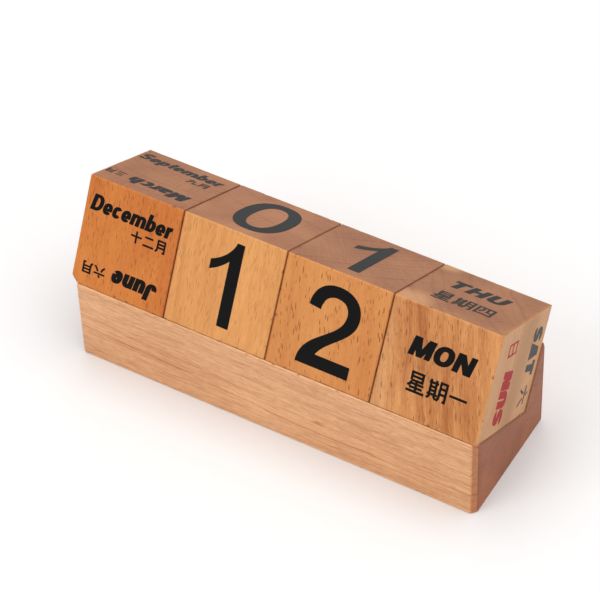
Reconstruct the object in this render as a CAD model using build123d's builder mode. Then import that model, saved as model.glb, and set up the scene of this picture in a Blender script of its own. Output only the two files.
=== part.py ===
from build123d import *
from math import sin, cos, tan, radians
import os

# Desk block calendar: a solid beech base with a leaning trough, and four
# loose blocks (month, two digit cubes, weekday) that stand in a row in it.
# Millimetres.  +X runs along the row to the reader's right, -Y faces the
# reader, +Z is up.  Origin: centre of the base's underside.

# ---------------------------------------------------------------- base block
BASE_LENGTH = 195.0        # along X
BASE_DEPTH = 62.5          # front face to back face
FRONT_HEIGHT = 43.5        # front face, up to the lip of the trough
BACK_HEIGHT = 44.0         # back face, up to the start of the crest bevel
CREST_BACK_SET = 2.0       # the crest stands this far in front of the back face
RIGHT_CORNER_CHAMFER = 2.3  # upright corners at the right-hand end
LEFT_CORNER_CHAMFER = 0.7   # upright corners at the left-hand end, only eased
CREST_ROUND = 0.7
LONG_EDGE_ROUND = 0.6

# -------------------------------------------------------------------- blocks
LEAN = 27.0                # the row leans back by this angle
CUBE = 50.0                # edge of the digit and weekday cubes
MONTH_WIDTH = 46.8         # the month block is a little narrower in X
GAP = 0.25                 # between neighbours in the row
LIP_SETBACK = 0.8          # blocks start this far down the trough floor
SEAT_GAP = 0.03            # blocks to trough floor and to trough back
ROW_RIGHT_INSET = 0.5      # last cube stops this far inside the base's right end
BLOCK_EDGE_ROUND = 0.7

# ------------------------------------------------------------ derived points
s, c = sin(radians(LEAN)), cos(radians(LEAN))
front_y = -BASE_DEPTH / 2
back_y = BASE_DEPTH / 2

# lip of the trough, and the unit steps down the floor and up the back wall
lip = (front_y, FRONT_HEIGHT)
floor_len = LIP_SETBACK + CUBE + SEAT_GAP
vertex = (lip[0] + floor_len * c, lip[1] - floor_len * s)
crest_y = back_y - CREST_BACK_SET
wall_len = (crest_y - vertex[0]) / s
crest = (crest_y, vertex[1] + wall_len * c)

# ---------------------------------------------------------------- base_block
# One solid block.  Its section is a rectangle with a right-angled trough cut
# into the top; the thin rim behind the trough is bevelled to a crest.
with BuildPart() as base_block:
    with BuildSketch(Plane.YZ) as section:
        with BuildLine() as outline:
            Polyline(
                (front_y, 0),
                (back_y, 0),
                (back_y, BACK_HEIGHT),
                crest,
                vertex,
                lip,
                close=True,
            )
        make_face()
    extrude(amount=BASE_LENGTH / 2, both=True)
    # upright corners: bevelled at the right-hand end, eased at the left
    right_corners = base_block.edges().filter_by(Axis.Z).group_by(Axis.X)[-1]
    chamfer(right_corners, RIGHT_CORNER_CHAMFER)
    left_corners = base_block.edges().filter_by(Axis.Z).group_by(Axis.X)[0]
    chamfer(left_corners, LEFT_CORNER_CHAMFER)
    # crest of the rim
    crest_edge = base_block.edges().filter_by(Axis.X).sort_by(Axis.Z)[-1]
    fillet(crest_edge, CREST_ROUND)
    # long bottom edges and the lip
    long_edges = base_block.edges().filter_by(Axis.X)
    bottom = long_edges.filter_by_position(Axis.Z, -0.01, 0.01)
    fillet(bottom, LONG_EDGE_ROUND)
    lip_edge = base_block.edges().filter_by(Axis.X).filter_by_position(
        Axis.Z, FRONT_HEIGHT - 0.01, FRONT_HEIGHT + 0.01
    )
    fillet(lip_edge, LONG_EDGE_ROUND)
base_block.part.label = "base_block"


# -------------------------------------------------------------------- blocks
def seat_plane(x_left):
    """Plane of the trough floor under one block, at the block's lower front
    left corner: local x along the row, local y down the floor, normal up the
    block."""
    start = LIP_SETBACK
    return Plane(
        origin=(
            x_left,
            lip[0] + start * c + SEAT_GAP * s,
            lip[1] - start * s + SEAT_GAP * c,
        ),
        x_dir=(1, 0, 0),
        z_dir=(0, s, c),
    )


x_weekday = BASE_LENGTH / 2 - ROW_RIGHT_INSET - CUBE
x_units = x_weekday - GAP - CUBE
x_tens = x_units - GAP - CUBE
x_month = x_tens - GAP - MONTH_WIDTH

# month_block: twelve month names, two to a face
with BuildPart() as month_block:
    with BuildSketch(seat_plane(x_month)) as month_foot:
        Rectangle(MONTH_WIDTH, CUBE, align=(Align.MIN, Align.MIN))
    extrude(amount=CUBE)
    fillet(month_block.edges(), BLOCK_EDGE_ROUND)
month_block.part.label = "month_block"

# tens_cube: digits 0 to 5
with BuildPart() as tens_cube:
    with BuildSketch(seat_plane(x_tens)) as tens_foot:
        Rectangle(CUBE, CUBE, align=(Align.MIN, Align.MIN))
    extrude(amount=CUBE)
    fillet(tens_cube.edges(), BLOCK_EDGE_ROUND)
tens_cube.part.label = "tens_cube"

# units_cube: digits 0, 1, 2, 6 or 9, 7 and 8
with BuildPart() as units_cube:
    with BuildSketch(seat_plane(x_units)) as units_foot:
        Rectangle(CUBE, CUBE, align=(Align.MIN, Align.MIN))
    extrude(amount=CUBE)
    fillet(units_cube.edges(), BLOCK_EDGE_ROUND)
units_cube.part.label = "units_cube"

# weekday_cube: seven weekday names
with BuildPart() as weekday_cube:
    with BuildSketch(seat_plane(x_weekday)) as weekday_foot:
        Rectangle(CUBE, CUBE, align=(Align.MIN, Align.MIN))
    extrude(amount=CUBE)
    fillet(weekday_cube.edges(), BLOCK_EDGE_ROUND)
weekday_cube.part.label = "weekday_cube"

# -------------------------------------------------------------------- export
os.makedirs("parts", exist_ok=True)
export_step(base_block.part, "parts/base_block.step")
export_step(month_block.part, "parts/month_block.step")
export_step(tens_cube.part, "parts/tens_cube.step")
export_step(units_cube.part, "parts/units_cube.step")
export_step(weekday_cube.part, "parts/weekday_cube.step")

print("trough vertex (y, z):", vertex, " crest:", crest, " wall:", wall_len)
for piece in (base_block, month_block, tens_cube, units_cube, weekday_cube):
    b = piece.part.bounding_box()
    print(piece.part.label, round(piece.part.volume, 1), b.min, b.max)
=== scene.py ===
import bpy
import math
import bmesh
from mathutils import Matrix, Vector, noise
from mathutils.geometry import delaunay_2d_cdt


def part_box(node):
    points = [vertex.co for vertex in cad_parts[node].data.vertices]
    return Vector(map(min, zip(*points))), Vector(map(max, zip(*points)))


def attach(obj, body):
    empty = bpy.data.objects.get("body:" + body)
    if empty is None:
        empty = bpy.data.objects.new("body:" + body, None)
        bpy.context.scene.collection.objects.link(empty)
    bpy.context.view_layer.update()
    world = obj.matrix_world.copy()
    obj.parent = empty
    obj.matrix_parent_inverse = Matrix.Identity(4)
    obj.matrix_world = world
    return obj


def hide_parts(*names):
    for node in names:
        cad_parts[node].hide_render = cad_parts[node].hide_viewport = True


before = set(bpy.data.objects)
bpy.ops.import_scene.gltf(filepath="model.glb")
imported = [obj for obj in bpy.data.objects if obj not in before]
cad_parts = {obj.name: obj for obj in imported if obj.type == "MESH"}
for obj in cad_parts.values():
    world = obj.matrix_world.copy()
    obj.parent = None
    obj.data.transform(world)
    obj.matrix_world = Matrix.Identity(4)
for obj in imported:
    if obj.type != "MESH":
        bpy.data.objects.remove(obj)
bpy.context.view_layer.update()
scene = bpy.context.scene
MM = 0.001


# =====================================================================
# where the blocks stand, read from the frame
# =====================================================================
LEAN = math.radians(27.0)
CUBE = 50.0
SIN, COS = math.sin(LEAN), math.cos(LEAN)
U = Vector((0.0, COS, -SIN))      # down the trough floor, towards the back
V = Vector((0.0, SIN, COS))       # up a block
BLOCKS = {
    "month": "month_block",
    "tens": "tens_cube",
    "units": "units_cube",
    "weekday": "weekday_cube",
}


def seat(node):
    """Lower front left corner of a block, in mm, and its width in X."""
    lo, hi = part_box(node)
    lo, hi = lo / MM, hi / MM
    # the rounded outline's lowest and highest points sit a little inside the sharp corners
    # of the block: the trimmed box of a rounded square that leans is known exactly
    r = 0.7
    slack = r * (SIN + COS - 1.0)
    corner = Vector((lo.x, lo.y - slack, hi.z + slack))       # not a real corner: its y and z are used apart
    front_y = corner.y                                        # lower front edge has the least y
    top_z = corner.z                                          # upper front edge has the greatest z
    # least y is the lower front corner; greatest z is the upper front corner = lower + 50 V
    z0 = top_z - CUBE * COS
    return Vector((lo.x, front_y, z0)), hi.x - lo.x


# =====================================================================
# camera
# =====================================================================
def make_camera():
    f_px = 2887.97496
    yaw, pitch, roll = -0.553917, 0.80747, -0.039576
    loc = Vector((441.973767, -720.135828, 936.379916)) * MM
    cy, sy, cp, sp = math.cos(yaw), math.sin(yaw), math.cos(pitch), math.sin(pitch)
    fwd = Vector((sy * cp, cy * cp, -sp))
    right = Vector((cy, -sy, 0.0))
    up = right.cross(fwd)
    r2 = right * math.cos(roll) + up * math.sin(roll)
    u2 = up * math.cos(roll) - right * math.sin(roll)
    data = bpy.data.cameras.new("camera")
    data.sensor_fit = "HORIZONTAL"
    data.sensor_width = 36.0
    data.lens = f_px / 600.0 * 36.0
    data.clip_start, data.clip_end = 0.05, 50.0
    ob = bpy.data.objects.new("camera", data)
    m = Matrix((r2, u2, -fwd)).transposed().to_4x4()
    m.translation = loc
    ob.matrix_world = m
    scene.collection.objects.link(ob)
    scene.camera = ob
    return ob


camera = make_camera()


# =====================================================================
# small helpers
# =====================================================================
def new_object(name, verts, faces, matrix=None, smooth=True):
    me = bpy.data.meshes.new(name)
    me.from_pydata([tuple(v) for v in verts], [], faces)
    me.validate(verbose=False)
    if smooth:
        me.polygons.foreach_set("use_smooth", [True] * len(me.polygons))
    me.update()
    ob = bpy.data.objects.new(name, me)
    if matrix is not None:
        ob.matrix_world = matrix
    scene.collection.objects.link(ob)
    return ob


def smooth_step(a, b, x):
    t = min(1.0, max(0.0, (x - a) / (b - a)))
    return t * t * (3.0 - 2.0 * t)


# =====================================================================
# lettering: a plain stroke alphabet, drawn from bars, slants and ovals
# =====================================================================
# Every glyph is a list of (outline, hole or None).  Cap height is 1.
class Pen:
    def __init__(self, a, b, xh=0.77):
        self.a, self.b, self.xh = a, b, xh   # upright and level stroke widths, x-height
        self.shapes = []

    def poly(self, *pts):
        self.shapes.append((list(pts), None))

    def bar(self, x0, y0, x1, y1):
        self.poly((x0, y0), (x1, y0), (x1, y1), (x0, y1))

    def slant(self, xb0, xb1, yb, xt0, xt1, yt):
        self.poly((xb0, yb), (xb1, yb), (xt1, yt), (xt0, yt))

    def oval(self, cx, cy, rx, ry, a0, a1, n=2.25, steps=36, a=None, b=None):
        """Stroke along an oval: rx, ry are the middle line's radii."""
        a = self.a if a is None else a
        b = self.b if b is None else b

        def at(t, kx, ky):
            c, s = math.cos(t), math.sin(t)
            e = 2.0 / n
            return (
                cx + kx * math.copysign(abs(c) ** e, c),
                cy + ky * math.copysign(abs(s) ** e, s),
            )

        full = abs(abs(a1 - a0) - 360.0) < 1e-6
        k = steps if full else max(4, int(steps * abs(a1 - a0) / 360.0))
        ts = [math.radians(a0 + (a1 - a0) * i / k) for i in range(k + 1)]
        outer = [at(t, rx + a / 2, ry + b / 2) for t in ts]
        inner = [at(t, rx - a / 2, ry - b / 2) for t in ts]
        if full:
            self.shapes.append((outer[:-1], inner[:-1]))
        else:
            self.shapes.append((outer + inner[::-1], None))

    def line(self, th, *pts, ext=0.5):
        """A pen line of one thickness through the points, with square ends."""
        for i in range(len(pts) - 1):
            (x0, y0), (x1, y1) = pts[i], pts[i + 1]
            d = math.hypot(x1 - x0, y1 - y0)
            ux, uy = (x1 - x0) / d, (y1 - y0) / d
            e0 = th * ext * (1.0 if i else 0.0)
            e1 = th * ext * (1.0 if i < len(pts) - 2 else 0.0)
            x0, y0, x1, y1 = x0 - ux * e0, y0 - uy * e0, x1 + ux * e1, y1 + uy * e1
            nx, ny = -uy * th / 2, ux * th / 2
            self.poly((x0 + nx, y0 + ny), (x0 - nx, y0 - ny), (x1 - nx, y1 - ny), (x1 + nx, y1 + ny))


def bezier(p0, p1, p2, p3, n=10):
    out = []
    for i in range(1, n + 1):
        t = i / n
        m = 1 - t
        out.append((
            m ** 3 * p0[0] + 3 * m * m * t * p1[0] + 3 * m * t * t * p2[0] + t ** 3 * p3[0],
            m ** 3 * p0[1] + 3 * m * m * t * p1[1] + 3 * m * t * t * p2[1] + t ** 3 * p3[1],
        ))
    return out


def contour(start, *segs):
    """Outline from a start point and segments: (x, y) for a line, three points for a curve."""
    pts = [start]
    for s in segs:
        if len(s) == 2 and not isinstance(s[0], tuple):
            pts.append(s)
        else:
            pts += bezier(pts[-1], *s)
    return pts


def letter(ch, a, b, xh):
    """(advance width, shapes) of one letter, in cap heights."""
    p = Pen(a, b, xh)
    X = xh
    if ch == "A":
        w = 1.04
        p.slant(0, a * 1.15, 0, w / 2 - a * 0.56, w / 2 + a * 0.56, 1)
        p.slant(w - a * 1.15, w, 0, w / 2 - a * 0.56, w / 2 + a * 0.56, 1)
        p.bar(w * 0.22, 0.17, w * 0.78, 0.17 + b * 0.9)
    elif ch == "D":
        w = 0.96
        p.bar(0, 0, a, 1)
        p.bar(a * 0.5, 0, w * 0.46, b)
        p.bar(a * 0.5, 1 - b, w * 0.46, 1)
        p.oval(w * 0.44, 0.5, w * 0.56 - a / 2, 0.5 - b / 2, -90, 90)
    elif ch == "E":
        w = 0.84
        p.bar(0, 0, a, 1)
        p.bar(0, 0, w, b)
        p.bar(0, 1 - b, w, 1)
        p.bar(0, 0.5 - b / 2, w * 0.94, 0.5 + b / 2)
    elif ch == "F":
        w = 0.80
        p.bar(0, 0, a, 1)
        p.bar(0, 1 - b, w, 1)
        p.bar(0, 0.46 - b / 2, w * 0.9, 0.46 + b / 2)
    elif ch == "H":
        w = 1.0
        p.bar(0, 0, a, 1)
        p.bar(w - a, 0, w, 1)
        p.bar(a / 2, 0.5 - b / 2, w - a / 2, 0.5 + b / 2)
    elif ch == "I":
        w = a
        p.bar(0, 0, a, 1)
    elif ch == "J":
        w = 0.78
        p.bar(w - a, 0.33, w, 1)
        p.oval(w / 2, 0.34, w / 2 - a / 2, 0.34 - b / 2, -184, 0)
    elif ch == "M":
        w = 1.22
        s = a * 0.92
        p.bar(0, 0, s, 1)
        p.bar(w - s, 0, w, 1)
        p.slant(w / 2 - a * 0.42, w / 2 + a * 0.42, 0, 0, a * 1.18, 1)
        p.slant(w / 2 - a * 0.42, w / 2 + a * 0.42, 0, w - a * 1.18, w, 1)
    elif ch == "N":
        w = 1.04
        s = a * 0.95
        p.bar(0, 0, s, 1)
        p.bar(w - s, 0, w, 1)
        p.slant(w - a * 1.1, w, 0, 0, a * 1.1, 1)
    elif ch == "O":
        w = 1.08
        p.oval(w / 2, 0.5, w / 2 - a / 2, 0.515 - b / 2, 0, 360)
    elif ch == "R":
        w = 0.98
        p.bar(0, 0, a, 1)
        p.bar(a * 0.5, 1 - b, w * 0.5, 1)
        p.bar(a * 0.5, 0.42, w * 0.5, 0.42 + b * 0.92)
        p.oval(w * 0.5, 0.71, w * 0.45 - a / 2, 0.29 - b / 2, -90, 90)
        p.slant(w - a * 1.15, w, 0, w * 0.38, w * 0.38 + a * 1.1, 0.46)
    elif ch == "S":
        w = 0.90
        q = (0.515 - b / 2) / 2
        p.oval(w / 2, 0.5 + q, w / 2 - a / 2 - 0.01, q, 12, 270)
        p.oval(w / 2, 0.5 - q, w / 2 - a / 2, q, 90, -168)
    elif ch == "T":
        w = 0.88
        p.bar(0, 1 - b, w, 1)
        p.bar(w / 2 - a / 2, 0, w / 2 + a / 2, 1)
    elif ch == "U":
        w = 0.98
        p.bar(0, 0.36, a, 1)
        p.bar(w - a, 0.36, w, 1)
        p.oval(w / 2, 0.37, w / 2 - a / 2, 0.385 - b / 2, -180, 0)
    elif ch == "W":
        w = 1.45
        k = a * 1.02
        p.slant(w * 0.27 - k / 2, w * 0.27 + k / 2, 0, 0, k, 1)
        p.slant(w * 0.27 - k / 2, w * 0.27 + k / 2, 0, w * 0.5 - k / 2, w * 0.5 + k / 2, 1)
        p.slant(w * 0.73 - k / 2, w * 0.73 + k / 2, 0, w * 0.5 - k / 2, w * 0.5 + k / 2, 1)
        p.slant(w * 0.73 - k / 2, w * 0.73 + k / 2, 0, w - k, w, 1)
    elif ch == "a":
        w = 0.76
        p.bar(w - a, 0, w, X * 0.68)
        p.oval(w / 2, X - 0.28, w / 2 - a / 2, 0.28 - b / 2, 0, 160)
        p.oval(w * 0.46, 0.225, w * 0.46 - a / 2, 0.235 - b / 2, 0, 360, b=b * 0.9)
        p.bar(w * 0.42, 0.46 - b * 0.9, w - a * 0.5, 0.46)
    elif ch == "b":
        w = 0.80
        p.bar(0, 0, a, 1.03)
        p.oval(w / 2, X / 2, w / 2 - a / 2, X / 2 + 0.012 - b / 2, 0, 360)
    elif ch == "c":
        w = 0.74
        p.oval(w / 2, X / 2, w / 2 - a / 2, X / 2 + 0.012 - b / 2, 33, 327)
    elif ch == "e":
        w = 0.78
        p.oval(w / 2, X / 2, w / 2 - a / 2, X / 2 + 0.012 - b / 2, -4, 322)
        p.bar(a * 0.5, X / 2 - b * 0.62, w - a * 0.02, X / 2 + b * 0.16)
    elif ch == "g":
        w = 0.80
        p.oval(w / 2, X / 2 + 0.02, w / 2 - a / 2, X / 2 - b / 2, 0, 360)
        p.bar(w - a, 0.0, w, X)
        p.oval(w / 2, 0.02, w / 2 - a / 2, 0.27 - b / 2, -168, 0)
    elif ch == "h":
        w = 0.80
        p.bar(0, 0, a, 1.03)
        p.oval(w / 2, X - 0.34, w / 2 - a / 2, 0.352 - b / 2, 0, 180)
        p.bar(w - a, 0, w, X - 0.32)
    elif ch == "i":
        w = a
        p.bar(0, 0, a, X)
        p.bar(0, X + 0.08, a, 1.03)
    elif ch == "l":
        w = a
        p.bar(0, 0, a, 1.03)
    elif ch == "m":
        w = 1.26
        k = (w - a) / 2
        p.bar(0, 0, a, X)
        for x0 in (0, k):
            p.oval(x0 + (k + a) / 2, X - 0.32, k / 2, 0.332 - b / 2, 0, 180)
            p.bar(x0 + k, 0, x0 + k + a, X - 0.3)
    elif ch == "n":
        w = 0.80
        p.bar(0, 0, a, X)
        p.oval(w / 2, X - 0.34, w / 2 - a / 2, 0.352 - b / 2, 0, 180)
        p.bar(w - a, 0, w, X - 0.32)
    elif ch == "o":
        w = 0.80
        p.oval(w / 2, X / 2, w / 2 - a / 2, X / 2 + 0.012 - b / 2, 0, 360)
    elif ch == "p":
        w = 0.80
        p.bar(0, -0.26, a, X)
        p.oval(w / 2, X / 2, w / 2 - a / 2, X / 2 + 0.012 - b / 2, 0, 360)
    elif ch == "r":
        w = 0.50
        p.bar(0, 0, a, X)
        p.oval(w * 0.98, X - 0.34, w * 0.98 - a / 2, 0.352 - b / 2, 88, 180, b=b * 1.15)
    elif ch == "s":
        w = 0.70
        q = (X / 2 + 0.012 - b / 2) / 2
        p.oval(w / 2, X / 2 + q, w / 2 - a / 2, q, 14, 270, b=b * 0.9)
        p.oval(w / 2, X / 2 - q, w / 2 - a / 2, q, 90, -166, b=b * 0.9)
    elif ch == "t":
        w = 0.48
        p.bar(0.09, 0.2, 0.09 + a, 0.96)
        p.bar(0, X - b * 0.9, w, X)
        p.oval(0.09 + a / 2 + 0.17, 0.22, 0.17, 0.22 - b / 2, 180, 280)
    elif ch == "u":
        w = 0.80
        p.bar(w - a, 0, w, X)
        p.oval(w / 2, 0.34, w / 2 - a / 2, 0.352 - b / 2, -180, 0)
        p.bar(0, 0.32, a, X)
    elif ch == "v":
        w = 0.78
        p.slant(w / 2 - a * 0.5, w / 2 + a * 0.5, 0, 0, a * 1.08, X)
        p.slant(w / 2 - a * 0.5, w / 2 + a * 0.5, 0, w - a * 1.08, w, X)
    elif ch == "y":
        w = 0.78
        p.slant(w / 2 - a * 0.5, w / 2 + a * 0.5, 0, 0, a * 1.08, X)
        p.slant(w * 0.26 - a * 0.35, w * 0.26 + a * 0.68, -0.24, w - a * 1.08, w, X)
        p.bar(0.02, -0.24, w * 0.26 + a * 0.4, -0.24 + b * 0.85)
    else:
        w = 0.4
    return w, p.shapes


def digit(ch):
    """(width, shapes) of one digit of height 1."""
    a, b = 0.155, 0.138
    p = Pen(a, b)
    w = 0.645

    def norm(x, y):
        return ((x - 1107.0) / 383.0, (448.0 - y) / 383.0)

    if ch == "0":
        p.oval(w / 2, 0.5, w / 2 - a / 2, 0.5 - b / 2, 0, 360, n=2.35, steps=72)
    elif ch == "1":
        w = 0.371
        q = lambda x, y: ((x - 633.0) / 388.0, (438.0 - y) / 388.0)
        p.poly(*contour(
            q(777, 50), q(777, 438), q(720, 438), q(720, 142),
            (q(700, 164), q(668, 190), q(633, 203)),
            q(633, 158),
            (q(682, 140), q(728, 98), q(741, 50)),
        ))
    elif ch == "2":
        n = norm
        p.poly(*contour(
            n(1117, 182),
            (n(1122, 108), n(1168, 65), n(1238, 65)),
            (n(1308, 65), n(1355, 108), n(1355, 170)),
            (n(1355, 206), n(1342, 236), n(1310, 268)),
            (n(1270, 308), n(1216, 340), n(1190, 390)),
            n(1357, 390), n(1357, 448), n(1107, 448),
            (n(1107, 400), n(1130, 362), n(1165, 330)),
            (n(1205, 294), n(1252, 266), n(1276, 232)),
            (n(1290, 212), n(1296, 192), n(1296, 170)),
            (n(1296, 138), n(1272, 117), n(1238, 117)),
            (n(1200, 117), n(1176, 142), n(1173, 189)),
        ))
    elif ch == "3":
        p.oval(0.30, 0.735, 0.30 - a / 2 - 0.01, 0.265 - b / 2, -88, 168, steps=60)
        p.oval(0.315, 0.27, 0.33 - a / 2, 0.275 - b / 2, -172, 88, steps=60)
        p.bar(0.21, 0.47, 0.36, 0.47 + b)
    elif ch == "4":
        w = 0.68
        p.bar(0.39, 0, 0.39 + a, 1)
        p.bar(0.0, 0.23, 0.68, 0.23 + b)
        p.poly((0.0, 0.23 + b * 0.2), (0.0, 0.23 + b), (0.39, 1), (0.39 + a * 0.4, 1), (0.39 + a * 0.4, 0.86), (0.155, 0.23 + b * 0.5))
    elif ch == "5":
        p.bar(0.10, 1 - b * 0.95, 0.60, 1)
        p.poly((0.10, 1), (0.245, 1), (0.20, 0.60), (0.19, 0.52), (0.035, 0.50), (0.04, 0.52))
        p.oval(0.315, 0.325, 0.33 - a / 2, 0.335 - b / 2, -170, 138, steps=60)
    elif ch in "69":
        sh = Pen(a, b)
        sh.oval(0.335, 0.32, 0.31 - a / 2, 0.325 - b / 2, 0, 360, steps=60)
        sh.oval(0.335, 0.5, 0.335 - a / 2, 0.505 - b / 2, 38, 232, steps=60)
        for o, h in sh.shapes:
            if ch == "6":
                p.shapes.append((o, h))
            else:
                p.shapes.append(([(w - x, 1 - y) for x, y in o], None if h is None else [(w - x, 1 - y) for x, y in h]))
    elif ch == "7":
        p.bar(0.02, 1 - b, 0.645, 1)
        p.poly(*contour(
            (0.645, 1), (0.645, 1 - b * 0.75),
            ((0.50, 0.68), (0.36, 0.38), (0.33, 0.0)),
            (0.17, 0.0),
            ((0.19, 0.36), (0.32, 0.66), (0.47, 1 - b)),
        ))
    elif ch == "8":
        p.oval(w / 2, 0.745, 0.285 - a / 2, 0.26 - b / 2, 0, 360, steps=60)
        p.oval(w / 2, 0.275, 0.322 - a / 2, 0.282 - b / 2, 0, 360, steps=60)
    return w, p.shapes


# The plain strokes of the day and month signs, in a unit square.
SIGNS = {
    "一": [[(.05, .5), (.95, .5)]],
    "二": [[(.15, .79), (.85, .79)], [(.04, .14), (.96, .14)]],
    "三": [[(.12, .86), (.88, .86)], [(.18, .5), (.82, .5)], [(.04, .12), (.96, .12)]],
    "四": [[(.1, .04), (.1, .9), (.9, .9), (.9, .04)], [(.1, .14), (.9, .14)],
               [(.38, .9), (.37, .6), (.22, .36)], [(.61, .9), (.61, .46), (.82, .44)]],
    "五": [[(.12, .9), (.88, .9)], [(.46, .9), (.32, .1)], [(.17, .53), (.77, .53), (.73, .1)], [(.03, .1), (.97, .1)]],
    "六": [[(.44, .98), (.55, .78)], [(.04, .66), (.96, .66)], [(.37, .48), (.27, .24), (.1, .04)], [(.63, .48), (.76, .26), (.92, .04)]],
    "七": [[(.04, .5), (.96, .64)], [(.42, .96), (.42, .2), (.5, .1), (.88, .1), (.92, .3)]],
    "八": [[(.39, .86), (.32, .46), (.06, .06)], [(.56, .92), (.68, .5), (.95, .06)]],
    "九": [[(.08, .68), (.68, .68), (.66, .16), (.73, .08), (.9, .08), (.94, .3)], [(.39, .96), (.37, .5), (.25, .24), (.07, .05)]],
    "十": [[(.04, .56), (.96, .56)], [(.5, .98), (.5, .02)]],
    "月": [[(.07, .03), (.19, .18), (.22, .42), (.22, .92), (.8, .92), (.8, .07), (.64, .07)], [(.22, .65), (.8, .65)], [(.21, .39), (.8, .39)]],
    "日": [[(.18, .02), (.18, .92), (.82, .92), (.82, .02)], [(.18, .5), (.82, .5)], [(.18, .1), (.82, .1)]],
    "星": [[(.22, .56), (.22, .96), (.78, .96), (.78, .56), (.22, .56)], [(.22, .76), (.78, .76)],
               [(.25, .5), (.19, .36), (.06, .26)], [(.2, .4), (.88, .4)], [(.16, .21), (.84, .21)], [(.03, .02), (.97, .02)], [(.5, .52), (.5, .02)]],
    "期": [[(.02, .82), (.52, .82)], [(.13, .98), (.13, .24)], [(.4, .98), (.4, .24)], [(.13, .62), (.4, .62)], [(.13, .43), (.4, .43)],
               [(.01, .24), (.54, .24)], [(.17, .18), (.03, 0)], [(.35, .18), (.49, .02)],
               [(.53, 0), (.61, .16), (.63, .36), (.63, .94), (.94, .94), (.94, .05), (.82, .05)], [(.63, .66), (.94, .66)], [(.63, .38), (.94, .38)]],
}


def word_shapes(text, a=0.325, b=0.23, xh=0.78, gap=0.04):
    """The letters of a word, each a list of shapes, and its width, at cap height 1."""
    out, x = [], 0.0
    for i, ch in enumerate(text):
        w, sh = letter(ch, a, b, xh)
        out.append([([(px + x, py) for px, py in o], None if h is None else [(px + x, py) for px, py in h]) for o, h in sh])
        x += w + gap
    return out, x - gap


def sign_shapes(text, th=0.1, pitch=1.06):
    out, x = [], 0.0
    for ch in text:
        p = Pen(0, 0)
        for s in SIGNS[ch]:
            p.line(th, *s)
        out.append([([(px + x, py) for px, py in o], None) for o, h in p.shapes])
        x += pitch
    return out, x - pitch + 1.0


def placed(glyphs, w, x0, x1, y0, height, shear=0.0, flip=False, box=None):
    """Scale glyphs of cap height 1 and width w to run from x0 to x1 with the base line at y0.
    flip turns them half round within the face box (width, height)."""
    run = x1 - x0 - shear * height
    out = []

    def m(q):
        x = x0 + q[0] * run / w + q[1] * height * shear
        y = y0 + q[1] * height
        if flip:
            x, y = box[0] - x, box[1] - y
        return (x, y)

    for shapes in glyphs:
        out.append([([m(q) for q in o], None if h is None else [m(q) for q in h]) for o, h in shapes])
    return out


def loop_area(loop):
    return 0.5 * sum(p[0] * q[1] - q[0] * p[1] for p, q in zip(loop, loop[1:] + loop[:1]))


def union(shapes):
    """Flat union of the shapes, as points and triangles.  Loops whose edges fall on one another can upset the
    triangulation, so its area is tested, and the shapes are parted by a few microns until it holds."""
    most = sum(abs(loop_area(o)) for o, _ in shapes)
    for attempt in range(12):
        verts, faces, tags = [], [], []
        for i, (o, h) in enumerate(shapes):
            nudge = Vector((math.sin(i * 2.4 + attempt), math.cos(i * 1.7 + attempt * 2.0))) * (0.0015 * attempt)
            for loop, kind in ((o, 1), (h, -1)):
                if loop is None:
                    continue
                if loop_area(loop) < 0:
                    loop = loop[::-1]
                k = len(verts)
                verts += [Vector(q) + nudge for q in loop]
                faces.append(list(range(k, k + len(loop))))
                tags.append((i, kind))
        pts, _, tris, _, _, orig = delaunay_2d_cdt(verts, [], faces, 1, 1e-5, True)
        keep, got = [], 0.0
        for t, src in zip(tris, orig):
            inside, holes = set(), set()
            for f in src:
                i, kind = tags[f]
                (inside if kind > 0 else holes).add(i)
            if inside - holes:
                keep.append(tuple(t))
                got += abs(loop_area([tuple(pts[k]) for k in t]))
        if 0.2 * most < got < most * 1.002:
            return [tuple(q) for q in pts], keep
    raise RuntimeError("a printed shape could not be triangulated")


def film(faces_spec, name, proud=0.02, sunk=0.12):
    """A closed ink film for one block.  faces_spec: (origin, x axis, y axis, glyphs), all in the block's mm."""
    verts, faces = [], []
    for origin, ax, ay, glyphs in faces_spec:
        n = ax.cross(ay)
        for shapes in glyphs:
            pts, tris = union(shapes)
            back = {}
            for i in sorted({i for t in tris for i in t}):
                q = origin + ax * pts[i][0] + ay * pts[i][1]
                back[i] = len(verts)
                verts.append((q + n * proud) * MM)
                verts.append((q - n * sunk) * MM)
            edge = {}
            for t in tris:
                (x0, y0), (x1, y1), (x2, y2) = (pts[i] for i in t)
                if (x1 - x0) * (y2 - y0) - (x2 - x0) * (y1 - y0) < 0:
                    t = t[::-1]
                faces.append(tuple(back[i] for i in t))
                faces.append(tuple(back[i] + 1 for i in t[::-1]))
                for i in range(3):
                    e = (t[i], t[(i + 1) % 3])
                    if (e[1], e[0]) in edge:
                        del edge[(e[1], e[0])]
                    else:
                        edge[e] = 1
            for (i, j) in edge:
                faces.append((back[i], back[i] + 1, back[j] + 1, back[j]))
    ob = new_object(name, verts, faces, smooth=False)
    return ob


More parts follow.
